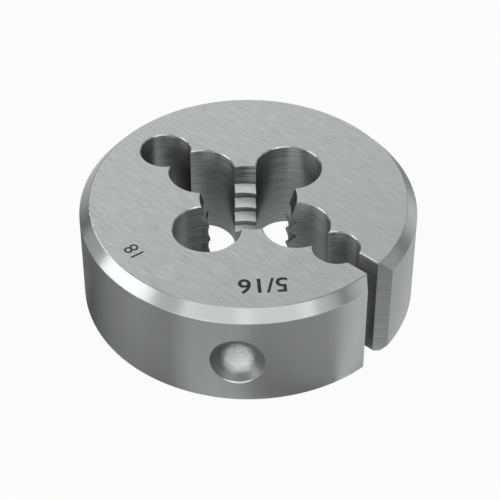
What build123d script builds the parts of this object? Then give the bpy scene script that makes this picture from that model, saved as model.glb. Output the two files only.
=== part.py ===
from build123d import *
import os
from math import ceil, cos, floor, radians, sin, sqrt, tan

# A round adjustable threading die, turned, drilled, tapped and slit from one piece of
# tool steel. The origin is on the thread's axis at the bottom face, +Z points to the
# upper face, and the four cutting lands lie on the X and Y axes. Millimetres, degrees.

# Blank
outside_diameter = 25.4
thickness = 9.0
top_chamfer_width = 0.76
top_chamfer_height = 0.88
bottom_chamfer_width = 0.45
bottom_chamfer_height = 0.5
edge_break = 0.08

# Recess in the underside, which shortens the threaded part
recess_diameter = 20.0
recess_depth = 1.25

# Right-hand thread and its lead-in at either end, whose mouth the tap leaves smooth
threads_per_inch = 18
core_diameter = 6.1
thread_depth = 0.61
lead_in_diameter = 7.34
lead_in_length = 2.3
smooth_lead_in = 1.25
thread_phase = 5.0

# Chip clearance holes, which leave the cutting lands between them
land_count = 4
land_width = 1.66
clearance_hole_diameter = 5.0

# Hinge hole opposite the slit, with the web of rim that flexes outside it
hinge_hole_diameter = 3.84
hinge_web = 2.31

# Slit, the hole at its inner end and the screw's groove at its mouth
slit_direction = -45.0
slit_width = 1.35
slit_length = 2.5
slit_hole_diameter = 3.45
groove_width = 2.97
groove_angle = 90.0

# Screw dimples in the rim, turned from the slit to either side
near_dimple_angle = 52.5
far_dimple_angle = 140.0
dimple_diameter = 4.2
dimple_depth = 1.3

# Sizes that follow from those above
inch = 25.4
overrun = 1.0
rim_radius = outside_diameter / 2
recess_radius = recess_diameter / 2
core_radius = core_diameter / 2
root_radius = core_radius + thread_depth
pitch = inch / threads_per_inch
flat_width = pitch / 6
hole_spacing = 360 / land_count
clearance_hole_radius = clearance_hole_diameter / 2
hinge_hole_radius = hinge_hole_diameter / 2
slit_hole_radius = slit_hole_diameter / 2
hinge_hole_distance = rim_radius - hinge_web - hinge_hole_radius
slit_hole_distance = rim_radius - slit_length - slit_hole_radius
dimple_height = (bottom_chamfer_height + thickness - top_chamfer_height) / 2


def around(direction, distance):
    """Places a shape at polar coordinates about the axis, turned to face outwards."""
    return Rot(0, 0, direction) * Pos(distance, 0, 0)


def turned(*points):
    """A solid of revolution about Z from (radius, height) points."""
    return revolve(make_face(Plane.XZ * Polyline(*points, close=True)), Axis.Z)


def blank():
    """The turned disc, its two corners chamfered and the edges they leave rounded off."""
    outline = Polyline(
        (0, 0),
        (rim_radius - bottom_chamfer_width, 0),
        (rim_radius, bottom_chamfer_height),
        (rim_radius, thickness - top_chamfer_height),
        (rim_radius - top_chamfer_width, thickness),
        (0, thickness),
        close=True,
    )
    section = make_face(Plane.XZ * outline)
    outer_corners = section.vertices().filter_by(lambda corner: corner.X > 0)
    return revolve(fillet(outer_corners, edge_break), Axis.Z)


def recess():
    """The round recess in the underside, with its edge broken."""
    return turned(
        (0, -overrun),
        (recess_radius + edge_break + overrun, -overrun),
        (recess_radius, edge_break),
        (recess_radius, recess_depth),
        (0, recess_depth),
    )


def drill(radius, lower_edge):
    """A through hole that also breaks its edge at the upper face and at the lower edge."""
    countersunk = radius + edge_break + overrun
    return turned(
        (0, lower_edge - overrun),
        (countersunk, lower_edge - overrun),
        (radius, lower_edge + edge_break),
        (radius, thickness - edge_break),
        (countersunk, thickness + overrun),
        (0, thickness + overrun),
    )


def bore():
    """The core bore with a lead-in cone at each end."""
    slope = (lead_in_diameter - core_diameter) / 2 / lead_in_length
    outside_mouth = lead_in_diameter / 2 + slope * overrun
    return turned(
        (0, recess_depth - overrun),
        (outside_mouth, recess_depth - overrun),
        (core_radius, recess_depth + lead_in_length),
        (core_radius, thickness - lead_in_length),
        (outside_mouth, thickness + overrun),
        (0, thickness + overrun),
    )


def clearance_hole_distance():
    """How far from the axis the clearance holes leave lands of the stated width."""
    half_land = land_width / 2
    along = sqrt(core_radius**2 - half_land**2)
    half_spacing = radians(hole_spacing / 2)
    nearest = along * cos(half_spacing) + half_land * sin(half_spacing)
    sideways = along * sin(half_spacing) - half_land * cos(half_spacing)
    return nearest + sqrt(clearance_hole_radius**2 - sideways**2)


def drilled_holes():
    """The clearance holes, the hinge hole and the slit's hole."""
    directions = [slit_direction + i * hole_spacing for i in range(land_count)]
    distance = clearance_hole_distance()
    clearance_hole = drill(clearance_hole_radius, recess_depth)
    holes = [around(direction, distance) * clearance_hole for direction in directions]
    holes.append(around(slit_direction + 180, hinge_hole_distance) * drill(hinge_hole_radius, 0))
    holes.append(around(slit_direction, slit_hole_distance) * drill(slit_hole_radius, 0))
    return holes


def along_slit(section, start):
    """A section in the plane across the slit, run out from start past the rim."""
    across = Plane(origin=(start, 0, 0), x_dir=(0, 1, 0), z_dir=(1, 0, 0))
    solid = extrude(across * make_face(section), rim_radius + overrun - start)
    return Rot(0, 0, slit_direction) * solid


def slit():
    """The saw cut from the hinge hole to the rim, with its edges broken at both faces."""
    half = slit_width / 2
    wide = half + edge_break + overrun
    section = Polyline(
        (-wide, -overrun),
        (wide, -overrun),
        (half, edge_break),
        (half, thickness - edge_break),
        (wide, thickness + overrun),
        (-wide, thickness + overrun),
        (-half, thickness - edge_break),
        (-half, edge_break),
        close=True,
    )
    return along_slit(section, -hinge_hole_distance)


def screw_groove():
    """The V that seats the adjusting screw's point, cut the full height of the rim."""
    half_mouth = groove_width / 2
    mouth = sqrt(rim_radius**2 - half_mouth**2)
    flare = tan(radians(groove_angle / 2))
    apex = mouth - half_mouth / flare
    outside = (rim_radius + overrun - apex) * flare
    outline = Polyline(
        (apex, 0),
        (rim_radius + overrun, -outside),
        (rim_radius + overrun, outside),
        close=True,
    )
    vee = Pos(0, 0, -overrun) * extrude(make_face(outline), thickness + 2 * overrun)
    return Rot(0, 0, slit_direction) * vee


def dimple():
    """A ball-ended hollow midway between the chamfers, facing +X, with its edge broken."""
    mouth_radius = dimple_diameter / 2
    ball_radius = (mouth_radius**2 + dimple_depth**2) / (2 * dimple_depth)
    lip_depth = 2 * edge_break
    lip_radius = sqrt(ball_radius**2 - (ball_radius - dimple_depth + lip_depth) ** 2)
    flare = (mouth_radius + edge_break - lip_radius) / lip_depth
    bottom = (rim_radius - dimple_depth, 0)
    lip = (rim_radius - lip_depth, lip_radius)
    outside = rim_radius + overrun
    outside_radius = mouth_radius + edge_break + flare * overrun
    outline = TangentArc(bottom, lip, tangent=(0, 1))
    outline += Polyline(lip, (outside, outside_radius), (outside, 0), bottom)
    return Pos(0, 0, dimple_height) * revolve(make_face(outline), Axis.X)


def rim_dimples():
    """The dimples for the holder's screws, alike on both sides of the slit."""
    angles = [s * a for s in (-1, 1) for a in (near_dimple_angle, far_dimple_angle)]
    return [Rot(0, 0, slit_direction + a) * dimple() for a in angles]


def groove_across_land():
    """The thread's groove across a land facing +X, from one clearance hole to the next."""
    half_root = flat_width / 2
    half_mouth = (pitch - flat_width) / 2
    flank_slope = (half_mouth - half_root) / thread_depth
    inner_radius = core_radius - flat_width / 4
    half_inner = half_mouth + (core_radius - inner_radius) * flank_slope
    section = Polyline(
        (core_radius - thread_depth, -half_inner),
        (inner_radius, -half_inner),
        (root_radius, -half_root),
        (root_radius, half_root),
        (inner_radius, half_inner),
        (core_radius - thread_depth, half_inner),
        close=True,
    )
    rise = pitch / land_count
    groove = sweep(make_face(Plane.XZ * section), Helix(pitch, rise, core_radius), is_frenet=True)
    return Rot(0, 0, -hole_spacing / 2) * Pos(0, 0, -rise / 2) * groove


def thread_grooves():
    """The groove at each turn and land, kept clear of the smooth ends of the lead-ins."""
    groove = groove_across_land()
    lowest = recess_depth + smooth_lead_in
    highest = thickness - smooth_lead_in
    grooves = []
    for land in range(land_count):
        direction = slit_direction + (land + 0.5) * hole_spacing
        share = (direction - thread_phase) / 360
        turns = range(ceil(lowest / pitch - share), floor(highest / pitch - share) + 1)
        grooves += [Pos(0, 0, (share + i) * pitch) * Rot(0, 0, direction) * groove for i in turns]
    return grooves


def round_split_die():
    """The finished die."""
    die = blank() - recess() - drilled_holes() - slit() - screw_groove() - rim_dimples() - bore()
    for groove in thread_grooves():
        die -= groove
    return die


os.makedirs("parts", exist_ok=True)
export_step(round_split_die(), "parts/round_split_die.step")
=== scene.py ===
from math import cos, pi, radians, sin

import bmesh
import bpy
from mathutils import Matrix, Vector


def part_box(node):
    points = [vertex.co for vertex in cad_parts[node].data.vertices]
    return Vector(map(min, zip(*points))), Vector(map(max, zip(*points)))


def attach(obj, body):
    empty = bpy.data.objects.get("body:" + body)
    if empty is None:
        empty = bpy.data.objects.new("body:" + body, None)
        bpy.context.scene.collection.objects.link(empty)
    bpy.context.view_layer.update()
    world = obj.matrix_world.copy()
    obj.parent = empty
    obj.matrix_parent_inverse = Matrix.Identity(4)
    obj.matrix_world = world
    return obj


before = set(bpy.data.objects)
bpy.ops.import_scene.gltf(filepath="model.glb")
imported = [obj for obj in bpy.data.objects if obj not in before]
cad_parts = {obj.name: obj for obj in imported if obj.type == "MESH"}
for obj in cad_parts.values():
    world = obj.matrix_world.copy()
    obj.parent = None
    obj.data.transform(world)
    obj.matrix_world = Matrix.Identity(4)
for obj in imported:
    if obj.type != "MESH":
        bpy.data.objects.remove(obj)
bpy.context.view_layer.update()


# The camera
# A long macro lens looks down at 42 degrees on the side with the slit. It aims near
# the middle of the die and is rolled a little about its own line of sight.
MM = 0.001
image_side = 500
focal_pixels = 1821.1
sensor_width = 36
clip_near, clip_far = 0.005, 10
camera_turn = -4.0705
camera_elevation = 41.992
camera_distance = 139.501 * MM
aim_height = 3.6621 * MM
aim_sideways = 0.136 * MM
camera_roll = 0.1843
turning_height = 4.5 * MM


def turned(vector, degrees):
    """A vector turned about Z."""
    return Matrix.Rotation(radians(degrees), 3, "Z") @ Vector(vector)


def place_camera():
    """The camera swings about the die's axis and then looks at its aim."""
    lens = bpy.data.cameras.new("macro_lens")
    lens.sensor_width = sensor_width
    lens.lens = focal_pixels / image_side * sensor_width
    lens.clip_start, lens.clip_end = clip_near, clip_far
    elevation = radians(camera_elevation)
    back = Vector((0, -cos(elevation), sin(elevation))) * camera_distance
    place = turned(back, camera_turn) + Vector((0, 0, turning_height))
    target = turned((aim_sideways, 0, aim_height), camera_turn)
    look = (target - place).to_track_quat("-Z", "Y").to_matrix()
    look = look @ Matrix.Rotation(radians(camera_roll), 3, "Z")
    camera = bpy.data.objects.new("macro_camera", lens)
    camera.matrix_world = Matrix.Translation(place) @ look.to_4x4()
    bpy.context.scene.collection.objects.link(camera)
    bpy.context.scene.camera = camera


place_camera()
bpy.context.scene.view_settings.view_transform = "Standard"


# The studio
# The die lies on white paper in a pale room, with soft boxes round it. Directions are in
# degrees as the camera sees the die, 0 right and 90 behind. In the metal the paper shows
# painted pools of light and shade: a glow set by direction from a point near the rim, not
# lit by the lamps.
paper_radius = 2.5
paper_sides = 96
paper_white = 0.9
paper_glow_seen = 0.94
glow_start = (6.55 * MM, -10.88 * MM, 0)
glow_direction = -24
# Painted light and shade for the metal: the paper's glow in each direction
painted_glow_pools = (
    (-160, 0.0), (-139, 0.38), (-118, 0.09), (-77, 0.37), (-6, 0.43), (6, 1.0), (32, 1.0),
    (50, 0.55), (71, 1.0), (87, 0.3), (97, 0.35), (110, 0.9), (140, 1.0), (158, 0.64),
    (170, 0.15),
)
room_grey = 0.17
box_distance = 1.0
# Name, direction, elevation, width, height and brightness of each soft box
soft_boxes = (
    ("low_left", -170, 13, 40, 22, 2.4),
    ("far_left", 160, 9, 26, 14, 0.7),
    ("left", 180, 40, 20, 30, 1.0),
    ("high_left", -150, 30, 40, 40, 0.6),
    ("low_front", -110, 13, 40, 22, 3.55),
    ("front", -70, 40, 40, 30, 1.2),
    ("front_right", -40, 40, 20, 30, 0.88),
    ("right", -15, 25, 18, 18, 0.67),
    ("low_right", 0, 17, 36, 26, 0.27),
    ("behind_right", 40, 8, 20, 14, 0.35),
    ("low_behind", 80, 13, 20, 22, 1.2),
    ("behind", 80, 40, 40, 30, 0.52),
    ("top", -90, 75, 40, 25, 1.1),
    ("behind_left", 152, 45, 12, 12, 5.0),
)


def new_material(name):
    material = bpy.data.materials.new(name)
    material.use_nodes = True
    material.node_tree.nodes.clear()
    return material


def feed(tree, socket, value):
    """Links another socket to a socket, or gives it a plain value."""
    if isinstance(value, bpy.types.NodeSocket):
        tree.links.new(value, socket)
    else:
        socket.default_value = value


def calculation(tree, operation, *values):
    """One step of arithmetic in a material."""
    node = tree.nodes.new("ShaderNodeMath")
    node.operation = operation
    for socket, value in zip(node.inputs, values):
        feed(tree, socket, value)
    return node.outputs[0]


def blend_shaders(tree, share, plain, other):
    mix = tree.nodes.new("ShaderNodeMixShader")
    for socket, value in zip(mix.inputs, (share, plain, other)):
        feed(tree, socket, value)
    return mix.outputs[0]


def surface(material, shader):
    output = material.node_tree.nodes.new("ShaderNodeOutputMaterial")
    material.node_tree.links.new(shader, output.inputs["Surface"])


def painted_paper_reflection(tree):
    """The painted light and shade that the metal sees in the paper, a glow set by direction.
    """
    coordinates = tree.nodes.new("ShaderNodeTexCoord")
    centred = tree.nodes.new("ShaderNodeMapping")
    centred.vector_type = "TEXTURE"
    centred.inputs["Location"].default_value = turned(glow_start, camera_turn)
    centred.inputs["Rotation"].default_value = (0, 0, radians(glow_direction + camera_turn))
    tree.links.new(coordinates.outputs["Object"], centred.inputs["Vector"])
    angle = tree.nodes.new("ShaderNodeTexGradient")
    angle.gradient_type = "RADIAL"
    tree.links.new(centred.outputs[0], angle.inputs["Vector"])
    ramp = tree.nodes.new("ShaderNodeValToRGB")
    stops = ramp.color_ramp.elements
    while len(stops) < len(painted_glow_pools):
        stops.new(1.0)
    for stop, (degrees, glow) in zip(stops, painted_glow_pools):
        stop.position = degrees / 360 + 0.5
        stop.color = (glow, glow, glow, 1)
    tree.links.new(angle.outputs["Fac"], ramp.inputs["Fac"])
    return ramp.outputs["Color"]


def white_paper():
    """Paper that the camera sees nearly white, with a faint shadow, and that shows the metal a
    painted glow.
    """
    material = new_material("white_paper")
    tree = material.node_tree
    paper = tree.nodes.new("ShaderNodeBsdfDiffuse")
    paper.inputs["Color"].default_value = (paper_white, paper_white, paper_white, 1)
    glow = tree.nodes.new("ShaderNodeEmission")
    painted_reflection = tree.nodes.new("ShaderNodeEmission")
    tree.links.new(painted_paper_reflection(tree), painted_reflection.inputs["Color"])
    path = tree.nodes.new("ShaderNodeLightPath")
    seen = calculation(
        tree, "MAXIMUM", path.outputs["Is Camera Ray"], path.outputs["Is Transmission Ray"]
    )
    seen = calculation(tree, "MULTIPLY", seen, paper_glow_seen)
    lit = blend_shaders(tree, seen, paper.outputs[0], glow.outputs[0])
    shown = blend_shaders(tree, path.outputs["Is Glossy Ray"], lit, painted_reflection.outputs[0])
    surface(material, shown)
    return material


def lay_paper():
    bm = bmesh.new()
    bmesh.ops.create_circle(bm, cap_ends=True, segments=paper_sides, radius=paper_radius)
    mesh = bpy.data.meshes.new("paper")
    bm.to_mesh(mesh)
    bm.free()
    mesh.materials.append(white_paper())
    paper = bpy.data.objects.new("paper", mesh)
    bpy.context.scene.collection.objects.link(paper)


def light_room():
    world = bpy.data.worlds.new("pale_room")
    world.use_nodes = True
    room = world.node_tree.nodes["Background"]
    room.inputs["Color"].default_value = (room_grey, room_grey, room_grey, 1)
    bpy.context.scene.world = world


def hang_soft_box(name, direction, elevation, width, height, brightness):
    """A soft box facing the die, its size and brightness as they look from there."""
    width, height = radians(width) * box_distance, radians(height) * box_distance
    lamp = bpy.data.lights.new(name, "AREA")
    lamp.shape = "RECTANGLE"
    lamp.size, lamp.size_y = width, height
    lamp.energy = brightness * pi * width * height
    level = Vector((cos(radians(elevation)), 0, sin(radians(elevation)))) * box_distance
    place = turned(level, direction + camera_turn)
    box = bpy.data.objects.new(name, lamp)
    facing = place.to_track_quat("Z", "Y").to_matrix().to_4x4()
    box.matrix_world = Matrix.Translation(place) @ facing
    bpy.context.scene.collection.objects.link(box)


lay_paper()
light_room()
for soft_box in soft_boxes:
    hang_soft_box(*soft_box)


# The die
# One piece of hardened tool steel. The blank is turned and its faces are ground, the
# holes are drilled, the bore is tapped, the dimples are sunk with a ball-ended cutter,
# and the slit and its V are milled last.
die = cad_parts["round_split_die"]
die_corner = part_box("round_split_die")[1]
rim_radius, face_height = die_corner.x, die_corner.z

# Where the cuts lie
slit_direction = -45
dimple_directions = (52.5, 140.0)
top_chamfer, bottom_chamfer, chamfer_reach = 0.88 * MM, 0.5 * MM, 0.8 * MM
rounded_edge = 0.07 * MM
rim_middle = (bottom_chamfer + face_height - top_chamfer) / 2
rim_half_height = (face_height - top_chamfer - bottom_chamfer) / 2 - rounded_edge
rim_inside = rim_radius - 0.03 * MM
corner_inside = rim_radius - chamfer_reach
bore_outside = 3.75 * MM
vee_start, vee_inside = rim_radius - 1.0 * MM, 0.7 * MM
behind_bowl = (rim_radius - 2.3 * MM, rim_middle)
bowl_reach, lip_reach = 3.04 * MM, 3.2 * MM
# Each bowl holds a painted highlight, brightest round this point and fading outwards
highlight_middle = (rim_radius - 1.24 * MM, rim_middle - 0.55 * MM)
highlight_inside, highlight_outside = 0.8 * MM, 1.5 * MM
highlight_unevenness = 0.8 * MM

# Which way they face, by the share of the normal that points up or away from the axis
chamfer_least_up = 0.3
bore_most_outward = -0.5
upright_most_up = 0.4
edge_up, edge_tolerance = 0.707, 0.05
level_least_up = 0.97

# Length, width and depth in millimetres of one line or blotch of each pattern
scratch, grinding_pass = (1.3, 0.07, 1), (5, 0.35, 1)
level_line, upright_line = (2.5, 2.5, 0.09), (0.6, 0.6, 60)
tap_mottle, highlight_blotch = (0.25, 0.25, 0.25), (0.6, 0.6, 0.6)
ring_spacing = 0.06 * MM
grinding_direction, pass_direction = 137, 133
pass_share, pass_shift = 0.2, 0.7
pattern_roughness = 0.6

# Grey, roughness and depth of the lines of each cut, laid over one another in this order. Some
# of the greys are painted light and shade, as told at their rows.
# The low grey of the drilled walls of the holes and the slit is partly their rougher finish
# and partly painted shade in them.
drilled = (0.31, 0.45, 2.1)
cuts = (
    ("edge", 0.62, 0.22, 0.2),
    ("vee", 0.35, 0.45, 1.7),
    ("bore", 0.63, 0.34, 0.7),
    # The dark grey of the bore's steep faces, the crests and roots of the thread, is painted
    # shade.
    ("upright bore", 0.2, 0.4, 3.8),
    # The near-white grey of the dimples' lips is a painted highlight.
    ("hollow", 0.95, 0.35, 0.2),
    # The dark grey of the bowls is painted shade in the dimples.
    ("bowl", 0.27, 0.45, 1.6),
    # This row is a painted highlight, bright steel in the middle of each bowl.
    ("painted_highlight", 0.85, 0.75, 1.0),
    ("rim", 0.515, 0.4, 0.15),
    ("corner", 0.63, 0.3, 0.12),
    ("ground", 0.74, 0.4, 1.45),
)
steel_tint = (0.985, 1.008, 0.995)
line_shade, line_roughness, line_height = 0.7, 0.2, 0.003 * MM
line_stretch = 0.9


def above(tree, value, limit):
    return calculation(tree, "GREATER_THAN", value, limit)


def below(tree, value, limit):
    return calculation(tree, "LESS_THAN", value, limit)


def all_of(tree, first, *others):
    """1 where all the conditions are 1."""
    for other in others:
        first = calculation(tree, "MULTIPLY", first, other)
    return first


def vector_step(tree, operation, *values):
    """One step of vector arithmetic in a material."""
    node = tree.nodes.new("ShaderNodeVectorMath")
    node.operation = operation
    for socket, value in zip(node.inputs, values):
        feed(tree, socket, value)
    return node


def separated(tree, vector):
    node = tree.nodes.new("ShaderNodeSeparateXYZ")
    tree.links.new(vector, node.inputs[0])
    return node.outputs


def lines(tree, place, direction, sizes, detail, shift=0.0):
    """Fine lines or blotches between -0.5 and 0.5, from the sizes of one in millimetres."""
    stretch = tree.nodes.new("ShaderNodeMapping")
    stretch.vector_type = "TEXTURE"
    stretch.inputs["Location"].default_value = (shift, shift, shift)
    stretch.inputs["Rotation"].default_value = (0, 0, radians(direction))
    stretch.inputs["Scale"].default_value = Vector(sizes) * MM
    tree.links.new(place, stretch.inputs["Vector"])
    noise = tree.nodes.new("ShaderNodeTexNoise")
    noise.inputs["Scale"].default_value = 1
    noise.inputs["Detail"].default_value = detail
    noise.inputs["Roughness"].default_value = pattern_roughness
    tree.links.new(stretch.outputs[0], noise.inputs["Vector"])
    return calculation(tree, "SUBTRACT", noise.outputs[0], 0.5)


def blend(tree, share, plain, other, kind="FLOAT"):
    """A number, or a vector where the kind says so, between two others."""
    mix = tree.nodes.new("ShaderNodeMix")
    mix.data_type = kind
    for name, value in (("Factor", share), ("A", plain), ("B", other)):
        feed(tree, mix.inputs[name], value)
    return mix.outputs["Result"]


def folded_on_slit(tree, place):
    """A place turned so that the slit lies along X, with one half folded on the other."""
    turn = tree.nodes.new("ShaderNodeVectorRotate")
    turn.rotation_type = "Z_AXIS"
    turn.inputs["Angle"].default_value = radians(-slit_direction)
    tree.links.new(place, turn.inputs["Vector"])
    along, aside, height = separated(tree, turn.outputs[0])
    folded = tree.nodes.new("ShaderNodeCombineXYZ")
    feed(tree, folded.inputs["X"], along)
    feed(tree, folded.inputs["Y"], calculation(tree, "ABSOLUTE", aside))
    feed(tree, folded.inputs["Z"], height)
    return folded.outputs[0]


def from_dimple(tree, folded, point):
    """How far a place is from a point of the nearest dimple, given by radius and height."""
    distances = []
    for direction in dimple_directions:
        middle = turned((point[0], 0, 0), direction) + Vector((0, 0, point[1]))
        distances.append(vector_step(tree, "DISTANCE", folded, middle).outputs["Value"])
    return calculation(tree, "MINIMUM", *distances)


def dimple_surfaces(tree, place, folded, rim):
    """The dimples with their lips, their bowls and a painted highlight in each bowl, 0 to 1
    each.
    """
    from_behind = from_dimple(tree, folded, behind_bowl)
    hollow = above(tree, below(tree, from_behind, lip_reach), rim)
    bowl = all_of(tree, hollow, below(tree, from_behind, bowl_reach))
    blotches = lines(tree, place, 0, highlight_blotch, detail=3)
    from_highlight = from_dimple(tree, folded, highlight_middle)
    from_highlight = calculation(tree, "MULTIPLY_ADD", blotches, highlight_unevenness, from_highlight)
    highlight_share = tree.nodes.new("ShaderNodeMapRange")
    highlight_share.interpolation_type = "SMOOTHSTEP"
    highlight_share.inputs["From Min"].default_value = highlight_outside
    highlight_share.inputs["From Max"].default_value = highlight_inside
    tree.links.new(from_highlight, highlight_share.inputs["Value"])
    return {
        "hollow": hollow,
        "bowl": bowl,
        "painted_highlight": calculation(tree, "MULTIPLY", bowl, highlight_share.outputs["Result"]),
    }


def turned_rings(tree, folded):
    """The fine rings that the cutter leaves in a bowl, between -0.5 and 0.5."""
    rings = tree.nodes.new("ShaderNodeTexNoise")
    rings.noise_dimensions = "1D"
    rings.inputs["Scale"].default_value = 1 / ring_spacing
    tree.links.new(from_dimple(tree, folded, behind_bowl), rings.inputs["W"])
    return calculation(tree, "SUBTRACT", rings.outputs[0], 0.5)


def machined_surfaces(tree, place, facing, folded):
    """Tells the cuts apart by where they lie and which way they face."""
    height = separated(tree, place)["Z"]
    level = vector_step(tree, "MULTIPLY", place, (1, 1, 0)).outputs[0]
    radius = vector_step(tree, "LENGTH", level).outputs["Value"]
    outward = vector_step(tree, "NORMALIZE", level).outputs[0]
    facing_out = vector_step(tree, "DOT_PRODUCT", outward, facing).outputs["Value"]
    upright = calculation(tree, "ABSOLUTE", separated(tree, facing)["Z"])
    off_middle = calculation(tree, "SUBTRACT", height, rim_middle)
    off_middle = calculation(tree, "ABSOLUTE", off_middle)
    along, aside = separated(tree, folded)[:2]
    bore = all_of(
        tree, below(tree, radius, bore_outside), below(tree, facing_out, bore_most_outward)
    )
    rim = above(tree, radius, rim_inside)
    return dimple_surfaces(tree, place, folded, rim) | {
        "edge": calculation(tree, "COMPARE", upright, edge_up, edge_tolerance),
        "vee": all_of(tree, above(tree, along, vee_start), above(tree, aside, vee_inside)),
        "bore": bore,
        "upright bore": all_of(tree, bore, below(tree, upright, upright_most_up)),
        "rim": rim,
        "corner": all_of(
            tree,
            above(tree, off_middle, rim_half_height),
            above(tree, radius, corner_inside),
            above(tree, upright, chamfer_least_up),
        ),
        "ground": above(tree, upright, level_least_up),
    }


def line_pattern(tree, place, folded, surfaces):
    """The lines that the tools leave, each pattern on its own cuts."""
    scratches = lines(tree, place, grinding_direction, scratch, detail=4)
    passes = lines(tree, place, pass_direction, grinding_pass, detail=2, shift=pass_shift)
    level_lines = lines(tree, place, 0, level_line, detail=2)
    grain = level_lines
    for name, pattern in (
        ("bore", lines(tree, place, 0, tap_mottle, detail=2)),
        ("upright bore", level_lines),
        ("bowl", turned_rings(tree, folded)),
        ("rim", lines(tree, place, 0, upright_line, detail=1)),
        ("ground", calculation(tree, "MULTIPLY_ADD", passes, pass_share, scratches)),
    ):
        grain = blend(tree, surfaces[name], grain, pattern)
    return grain


def tool_steel():
    """Steel with the finish of each cut and painted light and shade in the bore, holes and
    dimples, its highlights stretched across the lines.
    """
    material = new_material("tool_steel")
    tree = material.node_tree
    coordinates = tree.nodes.new("ShaderNodeTexCoord")
    place, facing = coordinates.outputs["Object"], coordinates.outputs["Normal"]
    folded = folded_on_slit(tree, place)
    surfaces = machined_surfaces(tree, place, facing, folded)

    grey, roughness, depth = drilled
    for name, cut_grey, cut_roughness, cut_depth in cuts:
        grey = blend(tree, surfaces[name], grey, cut_grey)
        roughness = blend(tree, surfaces[name], roughness, cut_roughness)
        depth = blend(tree, surfaces[name], depth, cut_depth)

    grain = line_pattern(tree, place, folded, surfaces)
    grain = calculation(tree, "MULTIPLY", grain, depth)
    lighter = calculation(tree, "MULTIPLY_ADD", grain, line_shade, 1.0)
    grey = calculation(tree, "MULTIPLY", grey, lighter)
    roughness = calculation(tree, "MULTIPLY_ADD", grain, line_roughness, roughness)
    tint = vector_step(tree, "SCALE", steel_tint)
    tree.links.new(grey, tint.inputs["Scale"])

    ridges = tree.nodes.new("ShaderNodeBump")
    ridges.inputs["Strength"].default_value = 1.0
    ridges.inputs["Distance"].default_value = line_height
    tree.links.new(grain, ridges.inputs["Height"])

    steel = tree.nodes.new("ShaderNodeBsdfPrincipled")
    steel.inputs["Anisotropic"].default_value = line_stretch
    across_grinding = turned((0, 1, 0), grinding_direction)
    across = blend(tree, surfaces["ground"], (0, 0, 1), across_grinding, kind="VECTOR")
    tree.links.new(across, steel.inputs["Tangent"])
    sunk_steel = tree.nodes.new("ShaderNodeBsdfPrincipled")
    for shader in (steel, sunk_steel):
        shader.inputs["Metallic"].default_value = 1
        tree.links.new(tint.outputs[0], shader.inputs["Base Color"])
        tree.links.new(roughness, shader.inputs["Roughness"])
        tree.links.new(ridges.outputs[0], shader.inputs["Normal"])
    finished = blend_shaders(tree, surfaces["hollow"], steel.outputs[0], sunk_steel.outputs[0])
    surface(material, finished)
    return material


die.material_slots[0].link = "OBJECT"
die.material_slots[0].material = tool_steel()


# The size marks
# Plain numbers for the size of the thread, burnt dark into the ground face by a laser.
# They lie on the face where they can be read from outside the rim.
mark_proud = 0.002 * MM
mark_black = (0.036, 0.039, 0.037)
mark_roughness, mark_shine = 0.55, 0.3
streak = (2, 0.1, 1)
streak_shade, streak_roughness = 1.2, 0.3
digit_height = 0.729


def burnt_steel():
    """Dull black with faint streaks where the grinding lines run under it."""
    material = new_material("burnt_steel")
    tree = material.node_tree
    coordinates = tree.nodes.new("ShaderNodeTexCoord")
    streaks = lines(tree, coordinates.outputs["Object"], grinding_direction, streak, detail=2)
    shade = calculation(tree, "MULTIPLY_ADD", streaks, streak_shade, 1.0)
    tone = vector_step(tree, "SCALE", mark_black)
    tree.links.new(shade, tone.inputs["Scale"])
    roughness = calculation(tree, "MULTIPLY_ADD", streaks, streak_roughness, mark_roughness)
    burnt = tree.nodes.new("ShaderNodeBsdfPrincipled")
    burnt.inputs["Specular IOR Level"].default_value = mark_shine
    tree.links.new(tone.outputs[0], burnt.inputs["Base Color"])
    tree.links.new(roughness, burnt.inputs["Roughness"])
    surface(material, burnt.outputs[0])
    return material


def size_mark(name, digits, height, direction, distance, weight=0.0, lean=0):
    """Digits with their feet towards the axis, at a direction and distance from it."""
    letters = bpy.data.curves.new(name, "FONT")
    letters.body = digits
    letters.size = height / digit_height
    letters.offset = weight
    letters.align_x, letters.align_y = "CENTER", "CENTER"
    shape = bpy.data.objects.new(name, letters)
    bpy.context.scene.collection.objects.link(shape)
    bpy.context.view_layer.update()
    mesh = bpy.data.meshes.new_from_object(shape)
    bpy.data.objects.remove(shape)
    place = Matrix.Rotation(radians(direction), 4, "Z")
    place = place @ Matrix.Translation((distance, 0, face_height + mark_proud))
    mesh.transform(place @ Matrix.Rotation(radians(lean - 90), 4, "Z"))
    mesh.materials.clear()
    mesh.materials.append(burnt_black)
    mark = bpy.data.objects.new(name, mesh)
    bpy.context.scene.collection.objects.link(mark)
    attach(mark, "root")


burnt_black = burnt_steel()
size_mark(
    "diameter_mark", "5/16", height=1.5 * MM, direction=-87.7, distance=9.6 * MM,
    weight=0.03 * MM, lean=-2,
)
size_mark("pitch_mark", "18", height=1.15 * MM, direction=-147.7, distance=10.2 * MM)
